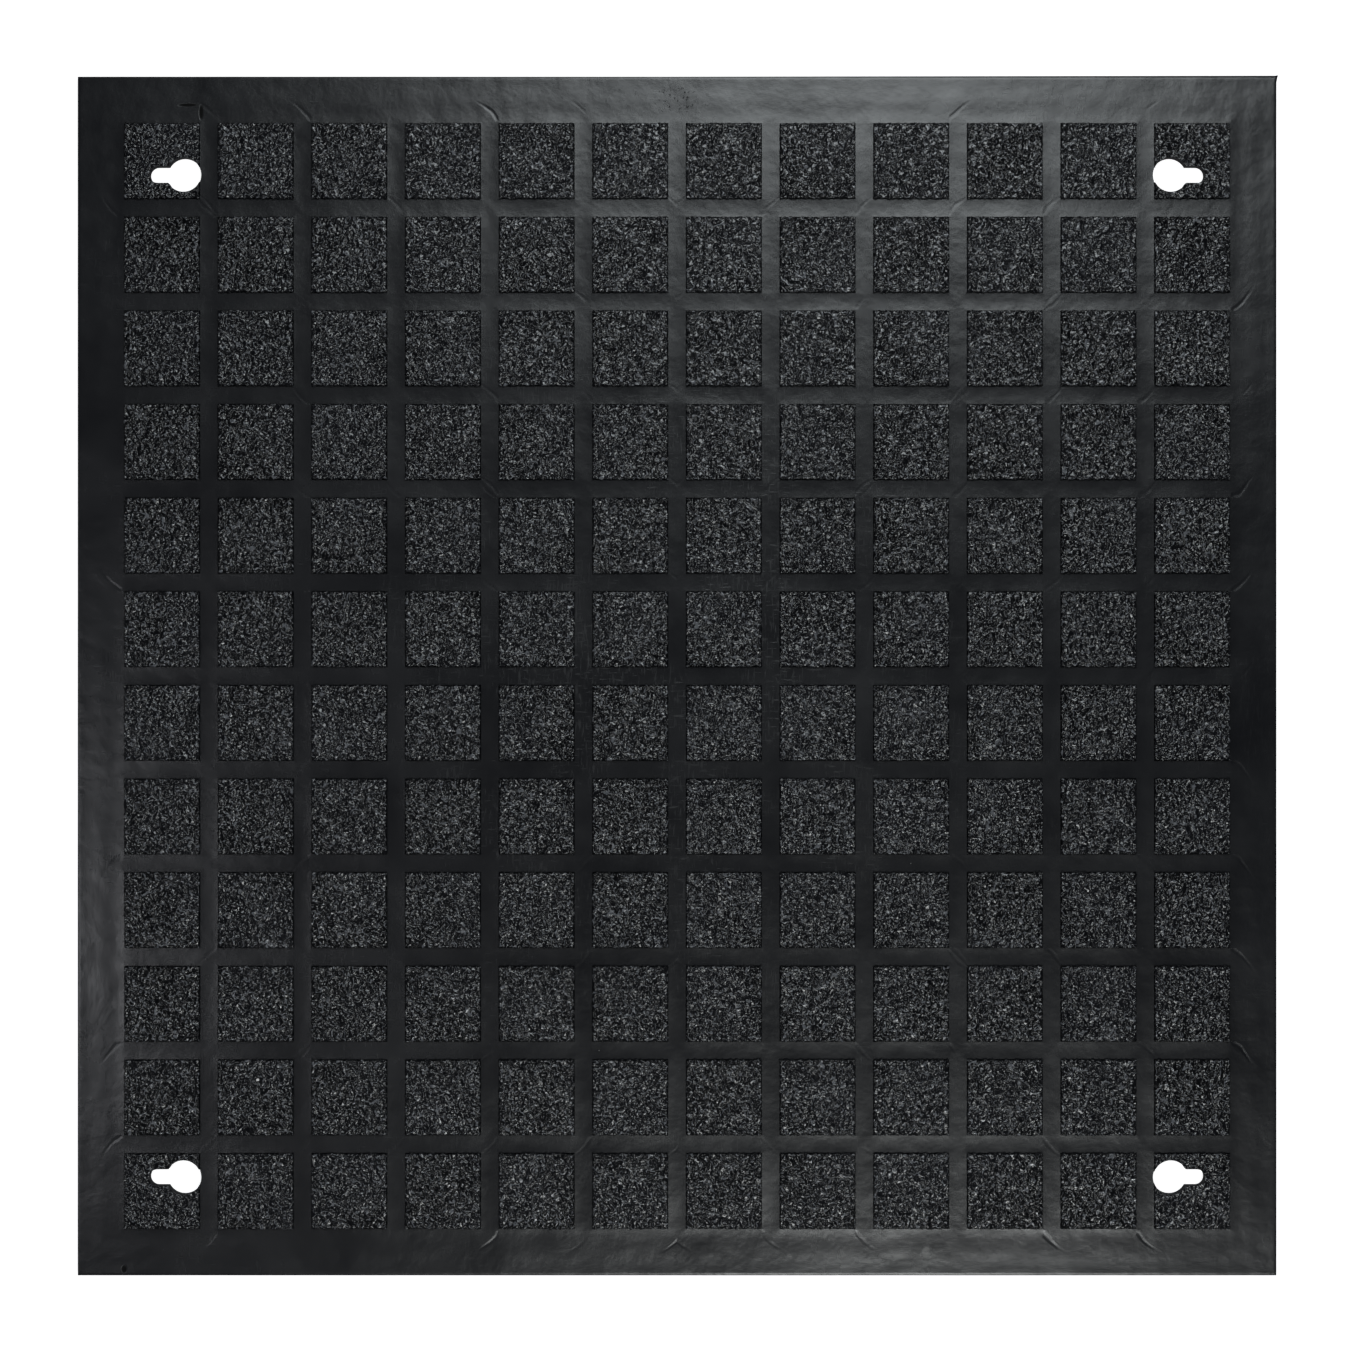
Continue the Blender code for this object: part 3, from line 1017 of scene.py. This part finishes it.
def overhead_camera(setup):
    """A camera above the mat that takes in the set width at the height of the pads' tops."""
    lens = bpy.data.cameras.new("camera")
    lens.sensor_width = 36.0
    reach = setup.camera_height - PAD_TOP
    lens.lens = lens.sensor_width * reach / setup.view_width
    lens.clip_start, lens.clip_end = 0.01, 100.0
    camera = bpy.data.objects.new("camera", lens)
    bpy.context.scene.collection.objects.link(camera)
    off_middle = (-0.8 * MM, 0.4 * MM)
    camera.location = (*off_middle, setup.camera_height)
    bpy.context.scene.camera = camera


class DOORMAT_OT_stage(bpy.types.Operator):
    """Build the pale floor, the soft lights and the camera."""

    bl_idname = "doormat.stage"
    bl_label = "Stage"

    def execute(self, context):
        setup = context.scene.doormat_stage
        height = setup.camera_height
        pale_floor()
        far, near, side = (0.153, 0.647, height), (0.185, -0.711, height), (-0.585, -0.206, height)
        soft_light("far_softbox", far, 0.50, setup.far_light, (0.92, 0.98, 1.0))
        soft_light("near_softbox", near, 0.30, setup.near_light, (0.97, 1.0, 0.99))
        soft_light("side_lamp", side, 0.20, setup.side_light, (0.95, 0.96, 1.0))
        room_glow(setup)
        overhead_camera(setup)
        context.scene.view_settings.view_transform = "Standard"
        return {"FINISHED"}


class DOORMAT_PT_panel(bpy.types.Panel):
    """Lists the mat's operators, sizes and finishes."""

    bl_label = "Door Mat"
    bl_space_type = "VIEW_3D"
    bl_region_type = "UI"
    bl_category = "Door Mat"

    def draw(self, context):
        for step in STEPS:
            self.layout.operator(step.bl_idname)
        for group in GROUPS:
            values = getattr(context.scene, GROUPS[group])
            box = self.layout.box()
            for name in group.__annotations__:
                box.prop(values, name)


STEPS = (DOORMAT_OT_stage, DOORMAT_OT_backing, DOORMAT_OT_sheet, DOORMAT_OT_pads)
GROUPS = {MatSizes: "doormat_sizes", MatFinish: "doormat_finish", StageSetup: "doormat_stage"}


def register():
    for group, name in GROUPS.items():
        bpy.utils.register_class(group)
        setattr(bpy.types.Scene, name, PointerProperty(type=group))
    for step in STEPS:
        bpy.utils.register_class(step)
    bpy.utils.register_class(DOORMAT_PT_panel)


def unregister():
    bpy.utils.unregister_class(DOORMAT_PT_panel)
    for step in reversed(STEPS):
        bpy.utils.unregister_class(step)
    for group, name in GROUPS.items():
        delattr(bpy.types.Scene, name)
        bpy.utils.unregister_class(group)


def main():
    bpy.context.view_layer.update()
    register()
    for step in STEPS:
        family, name = step.bl_idname.split(".")
        getattr(getattr(bpy.ops, family), name)()


if __name__ == "__main__":
    main()
